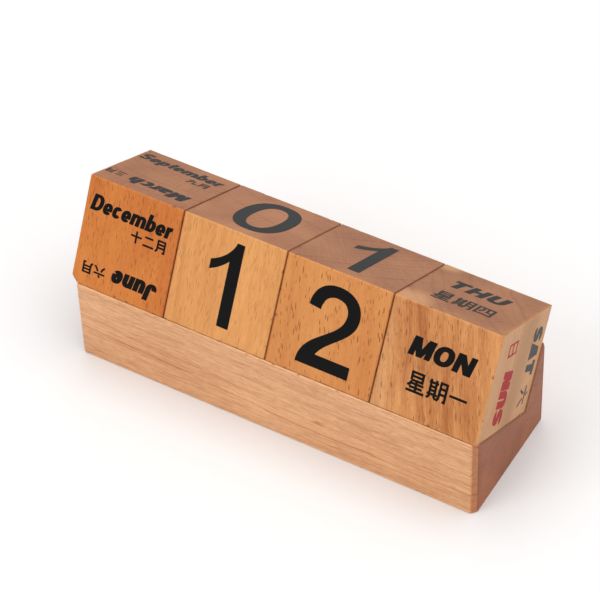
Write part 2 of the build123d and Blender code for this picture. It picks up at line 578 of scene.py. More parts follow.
# =====================================================================
# wood blocks
# =====================================================================
def rounded_block(name, size, seed, r=0.42, step=0.62, clip=None, free=None):
    """A sanded block: rounded edges that vary along their length, softer corners, and small dents on the arrises.
    Local frame: origin at the lower front left corner, +Z up the block.  clip cuts that corner off at these
    distances along the three edges."""
    import itertools

    def stations(length):
        arc = [0.0, 0.18, 0.42, 0.7, 1.0]
        head = [r * t for t in arc]
        n = max(2, int((length - 2 * r) / step))
        mid = [r + (length - 2 * r) * i / n for i in range(1, n)]
        return head + mid + [length - t for t in head[::-1]]

    sx, sy, sz = (stations(v) for v in size)
    index, verts, faces = {}, [], []

    def vid(i, j, k):
        key = (i, j, k)
        if key not in index:
            index[key] = len(verts)
            verts.append(Vector((sx[i], sy[j], sz[k])))
        return index[key]

    nx, ny, nz = len(sx) - 1, len(sy) - 1, len(sz) - 1
    for j, k in itertools.product(range(ny), range(nz)):
        faces.append((vid(0, j, k), vid(0, j, k + 1), vid(0, j + 1, k + 1), vid(0, j + 1, k)))
        faces.append((vid(nx, j, k), vid(nx, j + 1, k), vid(nx, j + 1, k + 1), vid(nx, j, k + 1)))
    for i, k in itertools.product(range(nx), range(nz)):
        faces.append((vid(i, 0, k), vid(i + 1, 0, k), vid(i + 1, 0, k + 1), vid(i, 0, k + 1)))
        faces.append((vid(i, ny, k), vid(i, ny, k + 1), vid(i + 1, ny, k + 1), vid(i + 1, ny, k)))
    for i, j in itertools.product(range(nx), range(ny)):
        faces.append((vid(i, j, 0), vid(i, j + 1, 0), vid(i + 1, j + 1, 0), vid(i + 1, j, 0)))
        faces.append((vid(i, j, nz), vid(i + 1, j, nz), vid(i + 1, j + 1, nz), vid(i, j + 1, nz)))

    off = Vector((seed * 13.7, seed * 7.3, seed * 3.1))
    wear_and_shade = []
    size_v = Vector(size)
    out = []
    for v in verts:
        # how near each pair of faces is
        d = [min(v[i], size_v[i] - v[i]) for i in range(3)]
        order = sorted(d)
        near_edge = order[1]
        # radius that varies along the arris
        rr = r * (1.0 + 0.35 * noise.noise(v * 0.11 + off))
        q = Vector([min(max(v[i], rr), size_v[i] - rr) for i in range(3)])
        delta = v - q
        # widen the arc zone to this vertex's own radius: scale offsets so that faces stay on the box
        ln = delta.length
        p = q + delta * (rr / ln) if ln > 1e-9 else v.copy()
        if ln > 1e-9:
            nrm = delta / ln
        else:
            nrm = Vector((0, 0, 1))
        # dents and nibbles along the arris
        w = 1.0 - smooth_step(0.0, 1.5, near_edge)
        if w > 0:
            t = noise.noise(v * 0.62 + off)
            t2 = noise.noise(v * 1.7 + off * 1.7)
            dent = smooth_step(0.38, 0.75, t) * 0.32 + smooth_step(0.45, 0.8, t2) * 0.12
            centre = size_v * 0.5
            inward = Vector([(1 if v[i] < centre[i] else -1) if d[i] < 1.6 else 0 for i in range(3)])
            if inward.length > 0:
                inward.normalize()
            p = p + inward * dent * w
            wear_and_shade.append(min(1.0, dent * 3.2) * w)
        else:
            wear_and_shade.append(0.0)
        # the sander leaves a very slight wave in each face, always inwards
        wave = 0.02 * (noise.noise(v * 0.07 + off * 0.3) + 1.0) * 0.5
        if order[0] < 1e-6:
            ax = d.index(order[0])
            p[ax] += wave if v[ax] < size_v[ax] / 2 else -wave
        if clip is not None:
            cn = Vector((1.0 / clip[0], 1.0 / clip[1], 1.0 / clip[2]))
            gap = 1.0 + 0.05 * noise.noise(v * 0.9 + off) - p.dot(cn)
            if gap > 0:
                p = p + cn * (gap / cn.length_squared)
                wear_and_shade[-1] = max(wear_and_shade[-1], 0.35)
        out.append(p * MM)
    ob = new_object(name, out, faces)
    me = ob.data
    arris_highlight_and_wear, gap_shade_and_bevel_tone = [], []
    for v in verts:
        d = [min(v[i], size_v[i] - v[i]) for i in range(3)]
        # pale arrises: a painted highlight along the edges, with sanded-through wear
        arris_highlight_and_wear.append(1.0 - smooth_step(0.1, 1.2, max(d[1], d[2])))
        # painted shade: the faces' edges beside a neighbouring block are darkened as the gap's shadow
        gap_shade_and_bevel_tone.append(1.0 - smooth_step(0.1, 0.55, max(d[0], min(d[1], d[2]))))
        if free == (v.x > size_v.x / 2):
            # no neighbour on this side: its edges are sanded like the others and take the pale painted highlight, with
            # no painted gap shade
            arris_highlight_and_wear[-1] = max(arris_highlight_and_wear[-1], 1.0 - smooth_step(0.2, 1.6, max(d[0], min(d[1], d[2]))))
            gap_shade_and_bevel_tone[-1] = 0.0
    for key, vals in (("wear_and_shade", wear_and_shade), ("arris_highlight_and_wear", arris_highlight_and_wear), ("gap_shade_and_bevel_tone", gap_shade_and_bevel_tone)):
        at = me.attributes.new(key, "FLOAT", "POINT")
        at.data.foreach_set("value", vals)
    return ob


# =====================================================================
# base block
# =====================================================================
def base_block(name):
    lo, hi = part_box("base_block")
    L = (hi.x - lo.x) / MM
    D = (hi.y - lo.y) / MM
    fy, by = lo.y / MM, hi.y / MM
    H1, H2 = 43.5, 44.0
    # trough planes pass just behind the seated blocks
    lip = Vector((fy, H1))
    vert = Vector((lip.x + 50.83 * COS, lip.y - 50.83 * SIN))
    cr_y = by - 2.0
    crest = Vector((cr_y, vert.y + (cr_y - vert.x) / SIN * COS))
    corners = [Vector((fy, 0)), Vector((by, 0)), Vector((by, H2)), crest, vert, lip]
    #        edge i runs from corner i to corner i+1: bottom, back, bevel, wall, floor, front
    radii = [0.6, 0.6, 0.8, 0.7, 0.02, 0.6]
    counts = [78, 54, 9, 44, 66, 56]
    arcn = 5

    def profile(off):
        """Loop of points with edge i moved inwards by off[i]."""
        n = len(corners)
        lines = []
        for i in range(n):
            a, b = corners[i], corners[(i + 1) % n]
            d = (b - a).normalized()
            nrm = Vector((-d.y, d.x))      # inwards for a counter-clockwise loop
            lines.append((a + nrm * off[i], d))
        pts = []
        cs = []
        for i in range(n):
            (p, d), (q, e) = lines[i - 1], lines[i]
            den = d.x * e.y - d.y * e.x
            t = ((q.x - p.x) * e.y - (q.y - p.y) * e.x) / den
            cs.append(p + d * t)
        segs = []
        for i in range(n):
            prev_d = lines[i - 1][1]
            next_d = lines[i][1]
            turn = prev_d.angle(next_d)
            t = radii[i] * math.tan(turn / 2)
            segs.append((cs[i] - prev_d * t, cs[i] + next_d * t, cs[i], prev_d, next_d, turn))
        for i in range(n):
            a, b, c, pd, nd, turn = segs[i]
            # arc at corner i
            for k in range(arcn + 1):
                f = k / arcn
                # quadratic through the corner is close enough to an arc at this size
                m = 1 - f
                w = math.cos(turn / 2)
                den = m * m + 2 * m * f * w + f * f
                pts.append(((a * (m * m) + c * (2 * m * f * w) + b * (f * f)) / den, i, True))
            # run along edge i
            nb = segs[(i + 1) % n][0]
            for k in range(1, counts[i]):
                f = k / counts[i]
                pts.append((b.lerp(nb, f), i, False))
        return pts

    # stations along X, close together near the ends: (distance from the end, further inset in the end's plane)
    rr = 0.45
    bevel = {-1: 0.7, 1: 2.3}
    head = [(0.0, 0.5), (0.0, 0.22), (0.0, 0.07), (0.0, 0.0)] + [(t, 0.0) for t in (
        0.01, 0.035, 0.08, 0.147, 0.25, 0.36, 0.48, 0.62, 0.78, 0.95, 1.2, 1.5, 1.75, 1.97, 2.15, 2.3, 2.45, 2.58, 2.72, 3.0)]
    n_mid = 240
    mid = [(3.0 + (L - 6.0) * i / n_mid, 0.0) for i in range(1, n_mid)]
    xs = head + mid + [(L - t, e) for t, e in head[::-1]]

    def end_inset(t, ch):
        """How far a face has drawn in at this distance from the end: a rounded edge, or a bevel with both of its
        edges eased."""
        if not ch:
            return rr - math.sqrt(rr * rr - (rr - t) ** 2) if t < rr else 0.0
        r1, r2 = min(1.0, ch), 0.5
        k1, k2 = r1 * math.tan(math.pi / 8), r2 * math.tan(math.pi / 8)
        if t < r2 * (1 - math.cos(math.pi / 4)):
            return ch + k2 - math.sqrt(r2 * r2 - (r2 - t) ** 2)
        if t < ch + k1 - r1 * math.sin(math.pi / 4):
            return ch - t
        if t < ch + k1:
            return r1 - math.sqrt(r1 * r1 - (ch + k1 - t) ** 2)
        return 0.0

    verts, faces, loops = [], [], []
    info = []
    for x, extra in xs:
        t = min(x, L - x)
        a = end_inset(t, 0.0) + extra
        b = end_inset(t, bevel[1 if x > L / 2 else -1]) + extra
        off = [a, a + (b - a) * 0.45, a + (b - a) * 0.15, a, a, b]
        radii[3] = 0.45 + 0.25 * smooth_step(0.0, 2.5, t)
        ring = profile(off)
        loop = []
        for p, i, arc in ring:
            loop.append(len(verts))
            verts.append(Vector((x - L / 2, p.x, p.y)))
            info.append((i, arc, t + extra * 4.0, extra > 0.0))
        loops.append(loop)
    m = len(loops[0])
    for a, b in zip(loops, loops[1:]):
        for i in range(m):
            j = (i + 1) % m
            faces.append((a[i], a[j], b[j], b[i]))
    # end faces: a triangulated sheet with inner points, so that it shades evenly
    for loop, sign in ((loops[0], -1), (loops[-1], 1)):
        ring2 = [Vector((verts[i].y, verts[i].z)) for i in loop]
        x_end = verts[loop[0]].x
        inner = []
        gy = fy + 4.0
        while gy < by - 3:
            gz = 3.0
            while gz < 46:
                inner.append(Vector((gy, gz)))
                gz += 2.4
            gy += 2.4

        def inside(q):
            c = False
            for i in range(len(ring2)):
                a, b = ring2[i], ring2[i - 1]
                if (a.y > q.y) != (b.y > q.y) and q.x < (b.x - a.x) * (q.y - a.y) / (b.y - a.y) + a.x:
                    c = not c
            return c

        def clear(q):
            return min((q - r).length for r in ring2[::2]) > 1.3

        inner = [q for q in inner if inside(q) and clear(q)]
        pts, _, tris, ov, _, of_face = delaunay_2d_cdt(ring2 + inner, [], [list(range(len(ring2)))], 1, 1e-6, True)
        tris = [tr for tr, src in zip(tris, of_face) if src and inside(sum((Vector(pts[i]) for i in tr), Vector((0, 0))) / 3)]
        ids = []
        for k, q in enumerate(pts):
            src = [o for o in ov[k] if o < len(ring2)]
            if src:
                ids.append(loop[src[0]])
            else:
                ids.append(len(verts))
                verts.append(Vector((x_end, q.x, q.y)))
                info.append((9, False, 9.0, True))
        for tr in tris:
            a, b, c = (Vector(pts[i]) for i in tr)
            area = (b.x - a.x) * (c.y - a.y) - (c.x - a.x) * (b.y - a.y)
            if (area > 0) != (sign > 0):
                tr = tr[::-1]
            faces.append(tuple(ids[i] for i in tr))

    # wear and painted shade: nibbles along the lip, the crest and the ends; painted contact shade along the trough
    # (below)
    wear_and_shade, arris_highlight_and_wear, gap_shade_and_bevel_tone, out = [], [], [], []
    off = Vector((41.0, 17.0, 5.0))
    for v, (i, arc, t, flat) in zip(verts, info):
        q = Vector((v.y, v.z))
        dc = min((q - corners[k]).length for k in (0, 1, 2, 3, 5))
        w = 0.0 if flat else (1.0 - smooth_step(0.2, 1.8, dc)) * smooth_step(0.3, 2.6, t)
        dent = 0.0
        if w > 0:
            n1 = noise.noise(Vector((v.x * 0.45, v.y * 0.6, v.z * 0.6)) + off)
            n2 = noise.noise(Vector((v.x * 1.5, v.y * 1.5, v.z * 1.5)) + off * 2)
            dent = smooth_step(0.36, 0.72, n1) * 0.30 + smooth_step(0.42, 0.8, n2) * 0.12
        p = v.copy()
        if dent > 0:
            c = Vector((max(-L / 2 + 4, min(L / 2 - 4, v.x)), 0.0, 24.0))
            near = min(((q - corners[k]).length, k) for k in (0, 1, 2, 3, 5))[1]
            aim = {0: (1, 1), 1: (-1, 1), 2: (-1, -0.4), 3: (-0.1, -1), 5: (0.55, -0.85)}[near]
            d2 = Vector(aim).normalized()
            p.y += d2.x * dent * w
            p.z += d2.y * dent * w
        wear_and_shade.append(min(1.0, dent * 3.2) * w)
        # pale near the profile's corners: a painted highlight, with sanded-through wear
        arris_highlight_and_wear.append(0.0 if flat else 1.0 - smooth_step(0.15, 1.3, dc))
        front = i == 5 or (i in (0, 5) and arc) or (i == 1 and not arc)
        # a darker band at the right end's bevel, front and back
        gap_shade_and_bevel_tone.append(0.8 * smooth_step(L / 2 - 3.0, L / 2 - 1.4, v.x) if front and i != 9 else 0.0)
        run = (q.x - lip.x) * COS - (q.y - lip.y) * SIN
        if i in (4, 5) and not flat and 0.1 < run < 2.6 and abs((q.x - lip.x) * SIN + (q.y - lip.y) * COS) < 0.15:
            # painted shade: the contact shadow on the narrow step in front of the blocks, dark and uneven
            n3 = noise.noise(Vector((v.x * 0.22, 3.0, 8.0))) + 0.5 * noise.noise(Vector((v.x * 1.3, 6.0, 1.0)))
            wear_and_shade[-1] = max(wear_and_shade[-1], smooth_step(0.1, 0.45, run) * (0.45 + 0.5 * smooth_step(-0.35, 0.45, n3)))
        # painted shade: a dark line on the right end face along the notch's edge, the contact shadow below the last
        # cube
        if i in (3, 4) and flat and t < 0.5 and v.x > 0:
            wear_and_shade[-1] = 0.5
        if i in (3, 4) and not flat and v.x > L / 2 - 1.0:
            # painted shade: the sliver of trough beyond the last cube is painted dark, as the shadow that falls in it
            wear_and_shade[-1] = 0.85 * smooth_step(L / 2 - 1.0, L / 2 - 0.5, v.x)
        out.append(p * MM)
    ob = new_object(name, out, faces)
    for key, vals in (("wear_and_shade", wear_and_shade), ("arris_highlight_and_wear", arris_highlight_and_wear), ("gap_shade_and_bevel_tone", gap_shade_and_bevel_tone)):
        at = ob.data.attributes.new(key, "FLOAT", "POINT")
        at.data.foreach_set("value", vals)
    return ob


# =====================================================================
# materials
# =====================================================================
class Tree:
    """A short way to write node trees."""

    def __init__(self, mat):
        mat.use_nodes = True
        self.t = mat.node_tree
        self.t.nodes.clear()

    def n(self, kind, **props):
        nd = self.t.nodes.new(kind)
        for k, v in props.items():
            setattr(nd, k, v)
        return nd

    def link(self, a, b):
        self.t.links.new(a, b)

    def put(self, sock, value):
        if isinstance(value, bpy.types.NodeSocket):
            self.link(value, sock)
        else:
            sock.default_value = value

    def math(self, op, a, b=0.0, c=None, clamp=False):
        nd = self.n("ShaderNodeMath", operation=op, use_clamp=clamp)
        self.put(nd.inputs[0], a)
        if len(nd.inputs) > 1:
            self.put(nd.inputs[1], b)
        if c is not None:
            self.put(nd.inputs[2], c)
        return nd.outputs[0]

    def vmath(self, op, a, b=None, scale=None):
        nd = self.n("ShaderNodeVectorMath", operation=op)
        self.put(nd.inputs[0], a)
        if b is not None:
            self.put(nd.inputs[1], b)
        if scale is not None:
            self.put(nd.inputs["Scale"], scale)
        return nd.outputs[1] if op in ("LENGTH", "DOT_PRODUCT", "DISTANCE") else nd.outputs[0]

    def xyz(self, x, y, z):
        nd = self.n("ShaderNodeCombineXYZ")
        for i, v in enumerate((x, y, z)):
            self.put(nd.inputs[i], v)
        return nd.outputs[0]

    def split(self, v):
        nd = self.n("ShaderNodeSeparateXYZ")
        self.put(nd.inputs[0], v)
        return nd.outputs

    def noise(self, vec, scale=1.0, detail=2.0, rough=0.5, dist=0.0, color=False):
        nd = self.n("ShaderNodeTexNoise")
        self.put(nd.inputs["Vector"], vec)
        nd.inputs["Scale"].default_value = scale
        nd.inputs["Detail"].default_value = detail
        nd.inputs["Roughness"].default_value = rough
        nd.inputs["Distortion"].default_value = dist
        return nd.outputs["Color"] if color else nd.outputs["Fac"]

    def voronoi(self, vec, feature="F1", rand=1.0, scale=1.0):
        nd = self.n("ShaderNodeTexVoronoi", feature=feature)
        self.put(nd.inputs["Vector"], vec)
        nd.inputs["Scale"].default_value = scale
        nd.inputs["Randomness"].default_value = rand
        return nd.outputs

    def ramp(self, fac, lo, hi, a=0.0, b=1.0, smooth=True):
        nd = self.n("ShaderNodeMapRange")
        nd.interpolation_type = "SMOOTHSTEP" if smooth else "LINEAR"
        self.put(nd.inputs["Value"], fac)
        nd.inputs["From Min"].default_value = lo
        nd.inputs["From Max"].default_value = hi
        nd.inputs["To Min"].default_value = a
        nd.inputs["To Max"].default_value = b
        return nd.outputs["Result"]

    def mix(self, fac, a, b, mode="MIX"):
        nd = self.n("ShaderNodeMix", data_type="RGBA", blend_type=mode)
        nd.clamp_factor = True
        self.put(nd.inputs[0], fac)
        self.put(nd.inputs[6], a)
        self.put(nd.inputs[7], b)
        return nd.outputs[2]


def rgb(r, g, b):
    """Linear colour from 0-255 display values."""
    def lin(c):
        c /= 255.0
        return c / 12.92 if c <= 0.04045 else ((c + 0.055) / 1.055) ** 2.4
    return (lin(r), lin(g), lin(b), 1.0)


def beech(name, light, dark, end_light, end_dark, axis="Z", pith=(90.0, 120.0), ring=3.0,
          offset=(0.0, 0.0, 0.0), tilt=(0.0, 0.0, 0.0), cloud=0.5, band=0.4, streak=0.3, late=0.25,
          fleck=0.6, fleck_size=(0.6, 3.7), fleck_col=(0.30, 0.10, 0.03), sap=None, rough=0.42, wave=5.0,
          lines=None, side=None, gap_shade_and_bevel_tone=0.9, gap_shade_and_bevel_col=(0.36, 0.22, 0.15),
          ringline=None, knots=(), stains=()):
    """Steamed beech: growth rings about a pith beside the block, dark ray flecks, fine fibre streaks and soft cloudy
    colour, all in three dimensions so that every face is cut from one piece.  Lengths are mm; axis is the grain."""
    mat = bpy.data.materials.new(name)
    T = Tree(mat)
    tc = T.n("ShaderNodeTexCoord")
    mp = T.n("ShaderNodeMapping", vector_type="POINT")
    T.link(tc.outputs["Object"], mp.inputs["Vector"])
    mp.inputs["Scale"].default_value = (1000.0, 1000.0, 1000.0)
    mp.inputs["Rotation"].default_value = [math.radians(v) for v in tilt]
    x, y, z = T.split(mp.outputs[0])
    nx, ny, nz = T.split(tc.outputs["Normal"])
    if axis == "X":                      # turn so that z is always the grain
        x, y, z = y, z, x
        n_l = nx
    else:
        n_l = nz
    end = T.ramp(T.math("ABSOLUTE", n_l), 0.6, 0.85)
    base = T.xyz(x, y, z)
    seed = Vector(offset)

    def tex(vec, scale, detail=2.0, rough_=0.5, shift=0.0):
        v = T.vmath("ADD", T.vmath("MULTIPLY", vec, scale), tuple(seed + Vector((shift, shift * 1.7, shift * 0.6))))
        return T.noise(v, 1.0, detail, rough_)

    def swing(f, k):
        """noise to a signed swing of about k"""
        return T.math("MULTIPLY", T.ramp(f, 0.28, 0.72, -0.5, 0.5, False), k)

    # wander of the grain: slow bends, and a fine ripple
    wv = T.noise(T.vmath("ADD", T.vmath("MULTIPLY", base, (0.02, 0.02, 0.016)), tuple(seed)), 1.0, 2.0, 0.5, color=True)
    wv = T.vmath("MULTIPLY", T.vmath("SUBTRACT", wv, (0.5, 0.5, 0.5)), (wave, wave, 0.0))
    rip = T.noise(T.vmath("ADD", T.vmath("MULTIPLY", base, (0.25, 0.25, 0.14)), tuple(seed)), 1.0, 1.0, 0.5, color=True)
    rip = T.vmath("MULTIPLY", T.vmath("SUBTRACT", rip, (0.5, 0.5, 0.5)), (0.9, 0.9, 0.0))
    p = T.vmath("ADD", T.vmath("ADD", base, wv), rip)
    px, py, pz = T.split(p)
    rx = T.math("SUBTRACT", px, pith[0])
    ry = T.math("SUBTRACT", py, pith[1])
    r = T.math("SQRT", T.math("ADD", T.math("MULTIPLY", rx, rx), T.math("MULTIPLY", ry, ry)))
    # arc length about the pith, measured from the line to the middle of the block so that no seam crosses it
    mid = (25.0, 25.0) if axis == "Z" else (0.0, 22.0)
    mx, my = mid[0] - pith[0], mid[1] - pith[1]
    R0 = math.hypot(mx, my)
    cx = T.math("ADD", T.math("MULTIPLY", rx, mx / R0), T.math("MULTIPLY", ry, my / R0))
    cy = T.math("SUBTRACT", T.math("MULTIPLY", ry, mx / R0), T.math("MULTIPLY", rx, my / R0))
    th = T.math("MULTIPLY", T.math("ARCTAN2", cy, cx), R0)
    rtl = T.xyz(r, th, pz)

    # growth rings: a thin darker line of late wood; most are faint, a few are plain
    rc = T.math("ADD", T.math("DIVIDE", r, ring), T.math("MULTIPLY", tex(rtl, (0.2, 0.04, 0.012), 1.0), 1.2))
    fr = T.math("FRACT", rc)
    lt = T.math("MULTIPLY", T.ramp(fr, 0.5, 0.94), T.ramp(fr, 0.94, 1.0, 1.0, 0.0))
    vary = T.ramp(T.noise(T.xyz(T.math("MULTIPLY", T.math("FLOOR", rc), 0.73), seed.x, seed.y), 1.0, 0.0), 0.42, 0.7, 0.15, 1.0)
    lt = T.math("MULTIPLY", lt, vary)

    # colour along the grain
    n_cloud = tex(p, (0.055, 0.055, 0.02), 2.0, 0.5, 1.0)
    n_band = tex(p, (0.30, 0.30, 0.013), 2.0, 0.5, 2.0)
    n_str = tex(p, (1.35, 1.35, 0.085), 3.0, 0.62, 3.0)
    n_fib = tex(p, (4.2, 4.2, 0.30), 2.0, 0.6, 4.0)
    tone = T.math("ADD", swing(n_cloud, cloud), swing(n_band, band))
    tone = T.math("ADD", tone, swing(n_str, streak))
    tone = T.math("ADD", tone, swing(n_fib, streak * 0.55))
    tone = T.math("ADD", tone, T.math("MULTIPLY", lt, late))
    tone = T.math("ADD", tone, 0.5 - late * 0.2, clamp=True)
    long_col = T.mix(tone, light, dark)
    if sap is not None:
        # another colour towards one side: (axis, from, to, colour, amount)
        for ax, s0, s1, colour, amount in sap:
            k = T.math("ADD", (px, py, pz)[ax], swing(n_band, 5.0))
            f = T.math("MULTIPLY", T.ramp(k, s0, s1), amount)
            long_col = T.mix(f, long_col, T.mix(T.math("MULTIPLY", tone, 0.45), colour, dark))

    if side is not None:
        # the face that looks along +X is cut through paler wood
        sf = T.ramp(nx, 0.6, 0.9)
        f = T.math("MULTIPLY", sf, side[1])
        long_col = T.mix(f, long_col, T.mix(T.math("MULTIPLY", tone, side[2]), side[0], dark))
        # with one broad stripe of older wood that leans a little
        k = T.math("ADD", T.math("SUBTRACT", y, T.math("MULTIPLY", z, 0.04)), swing(n_band, 5.0))
        g = T.math("MULTIPLY", T.ramp(k, 17.0, 26.0), T.ramp(k, 30.0, 41.0, 1.0, 0.0))
        long_col = T.mix(T.math("MULTIPLY", T.math("MULTIPLY", g, sf), side[3]), long_col, side[4])

    # a few long dark hairlines that follow the grain
    if lines is not None:
        across, gap, amount = lines
        k = tex(p, (0.11, 0.11, 0.006), 1.0, 0.5, 9.0)
        hair = T.math("ABSOLUTE", T.math("SUBTRACT", T.math("FRACT", T.math("MULTIPLY", k, gap)), 0.5))
        hair = T.ramp(hair, 0.0, across, 1.0, 0.0)
        hair = T.math("MULTIPLY", hair, T.ramp(tex(p, (0.3, 0.3, 0.02), 1.0, 0.5, 5.0), 0.42, 0.6, 0.15, 1.0))
        long_col = T.mix(T.math("MULTIPLY", hair, amount), long_col, T.mix(1.0, long_col, (0.62, 0.46, 0.34, 1.0), "MULTIPLY"))

    if ringline is not None:
        # one strong ring line that slopes and then runs level, and a few pin knots
        x0, x1, z0, z1, amount = ringline
        g = T.ramp(pz, x0, x1, z0, z1, False)
        g = T.math("ADD", g, swing(tex(base, (0.05, 0.05, 0.05), 2.0, 0.5, 11.0), 1.6))
        g = T.math("SUBTRACT", T.math("SUBTRACT", y, g), T.math("MULTIPLY", T.math("ADD", x, 31.0), 0.25))
        f = T.ramp(T.math("ABSOLUTE", g), 0.15, 0.75, 1.0, 0.0)
        f = T.math("MULTIPLY", f, T.ramp(tex(base, (0.2, 0.2, 0.06), 2.0, 0.5, 12.0), 0.3, 0.6, 0.25, 1.0))
        f = T.math("MAXIMUM", T.math("MULTIPLY", f, amount), T.math("MULTIPLY", T.ramp(T.math("ABSOLUTE", T.math("SUBTRACT", g, 6.5)), 0.2, 0.9, 1.0, 0.0), amount * 0.35))
        long_col = T.mix(f, long_col, T.mix(1.0, long_col, (0.72, 0.56, 0.42, 1.0), "MULTIPLY"))
        for spot in knots:
            d = T.vmath("DISTANCE", T.vmath("MULTIPLY", base, (1.0, 1.0, 0.55)), (spot[1], spot[2], spot[0] * 0.55))
            long_col = T.mix(T.ramp(d, 0.25, spot[3], 0.75, 0.0), long_col, (0.28, 0.11, 0.045, 1.0))

    # rays: thin plates, tall along the grain, deep along the radius; a large and a small set
    fw, fl = fleck_size
    rays = T.voronoi(T.vmath("DIVIDE", rtl, (9.0, fw, fl)))
    rnd = T.split(rays["Color"])
    size = T.ramp(rnd[0], 0.0, 1.0, 0.22, 0.42, False)
    ray = T.ramp(T.math("SUBTRACT", 1.0, T.math("DIVIDE", rays["Distance"], size), clamp=True), 0.0, 0.32)
    ray = T.math("MULTIPLY", ray, T.ramp(rnd[1], 0.25, 0.62, 0.15, 1.0))
    rays2 = T.voronoi(T.vmath("DIVIDE", T.vmath("ADD", rtl, (3.1, 0.7, 1.3)), (6.0, fw * 0.55, fl * 0.5)))
    ray2 = T.math("MULTIPLY", T.ramp(rays2["Distance"], 0.1, 0.34, 1.0, 0.0), T.ramp(T.split(rays2["Color"])[0], 0.35, 0.9))
    ray_all = T.math("MAXIMUM", ray, T.math("MULTIPLY", ray2, 0.5))
    shown = T.math("MULTIPLY", ray_all, fleck)
    if side is not None:
        shown = T.math("MULTIPLY", shown, T.ramp(nx, 0.6, 0.9, 1.0, 0.3))
    long_col = T.mix(shown, long_col, T.mix(0.85, long_col, fleck_col + (1.0,)))

    # end grain: darker, rings as arcs, rays as fine radial lines, pores as dots
    pores = T.voronoi(T.vmath("MULTIPLY", p, (4.5, 4.5, 0.4)))
    pore = T.ramp(pores["Distance"], 0.1, 0.34, 1.0, 0.0)
    rad = T.noise(T.vmath("MULTIPLY", rtl, (0.10, 1.7, 0.15)), 1.0, 3.0, 0.62)
    et = T.math("ADD", swing(rad, 0.5), T.math("MULTIPLY", lt, 0.5))
    et = T.math("ADD", et, swing(tex(p, (0.045, 0.045, 0.02), 2.0, 0.5, 6.0), 0.7))
    et = T.math("ADD", et, swing(tex(p, (0.9, 0.9, 0.3), 3.0, 0.5, 7.0), 0.22))
    et = T.math("ADD", et, 0.42, clamp=True)
    end_col = T.mix(et, end_light, end_dark)
    end_col = T.mix(T.math("MULTIPLY", pore, 0.28), end_col, T.mix(0.8, end_col, (0.10, 0.04, 0.02, 1.0)))
    col = T.mix(end, long_col, end_col)

    for spot in stains:
        # end grain that has taken up more oil: (place, radius, colour, amount)
        d = T.vmath("DISTANCE", T.vmath("ADD", T.vmath("SCALE", tc.outputs["Object"], scale=1000.0), T.vmath("MULTIPLY", wv, (0.6, 0.6, 0.0))), spot[0])
        col = T.mix(T.math("MULTIPLY", T.math("MULTIPLY", T.ramp(d, spot[1] * 0.3, spot[1], 1.0, 0.0), end), spot[3]), col, spot[2])

    # arrises: paler, a painted highlight along the edges together with sanded-through wear; painted shade darkens the
    # edges beside a neighbouring block (on the base, a darker band at the right bevel); nibbles are dark, and the same
    # mask carries the base's painted contact shade in the trough
    at = T.n("ShaderNodeAttribute", attribute_name="arris_highlight_and_wear").outputs["Fac"]
    se = T.n("ShaderNodeAttribute", attribute_name="gap_shade_and_bevel_tone").outputs["Fac"]
    we = T.n("ShaderNodeAttribute", attribute_name="wear_and_shade").outputs["Fac"]
    pale_highlight_and_wear = T.mix(0.6, col, (min(1.0, light[0] * 1.10), min(1.0, light[1] * 1.16), min(1.0, light[2] * 1.2), 1.0))
    # painted highlight with sanded-through wear along the arrises
    col = T.mix(T.math("MULTIPLY", at, T.ramp(n_str, 0.35, 0.65, 0.15, 0.6)), col, pale_highlight_and_wear)
    # painted shade in the gaps between blocks; on the base, the darker bevel band
    col = T.mix(T.math("MULTIPLY", se, gap_shade_and_bevel_tone), col, T.mix(1.0, col, gap_shade_and_bevel_col + (1.0,), "MULTIPLY"))
    # dark nibbles, and the base's painted contact shade in the trough
    col = T.mix(T.math("MULTIPLY", we, 0.75), col, (0.12, 0.04, 0.018, 1.0))

    bs = T.n("ShaderNodeBsdfPrincipled")
    out = T.n("ShaderNodeOutputMaterial")
    T.link(bs.outputs[0], out.inputs[0])
    T.link(col, bs.inputs["Base Color"])
    ro = T.math("ADD", rough, swing(n_fib, 0.14))
    ro = T.math("ADD", ro, T.math("MULTIPLY", end, 0.06))
    ro = T.math("ADD", ro, T.math("MULTIPLY", ray_all, 0.10), clamp=True)
    T.link(ro, bs.inputs["Roughness"])
    bs.inputs["IOR"].default_value = 1.48
    bs.inputs["Specular IOR Level"].default_value = 0.42
    # relief: fibres, flecks and pores, a few hundredths of a millimetre
    h = T.math("ADD", T.math("MULTIPLY", n_fib, 0.6), T.math("MULTIPLY", n_str, 0.8))
    h = T.math("SUBTRACT", h, T.math("MULTIPLY", ray_all, 0.5))
    h = T.math("SUBTRACT", h, T.math("MULTIPLY", T.math("MULTIPLY", pore, end), 0.5))
    bp = T.n("ShaderNodeBump")
    bp.inputs["Strength"].default_value = 0.4
    bp.inputs["Distance"].default_value = 0.00005
    T.link(h, bp.inputs["Height"])
    T.link(bp.outputs[0], bs.inputs["Normal"])
    return mat


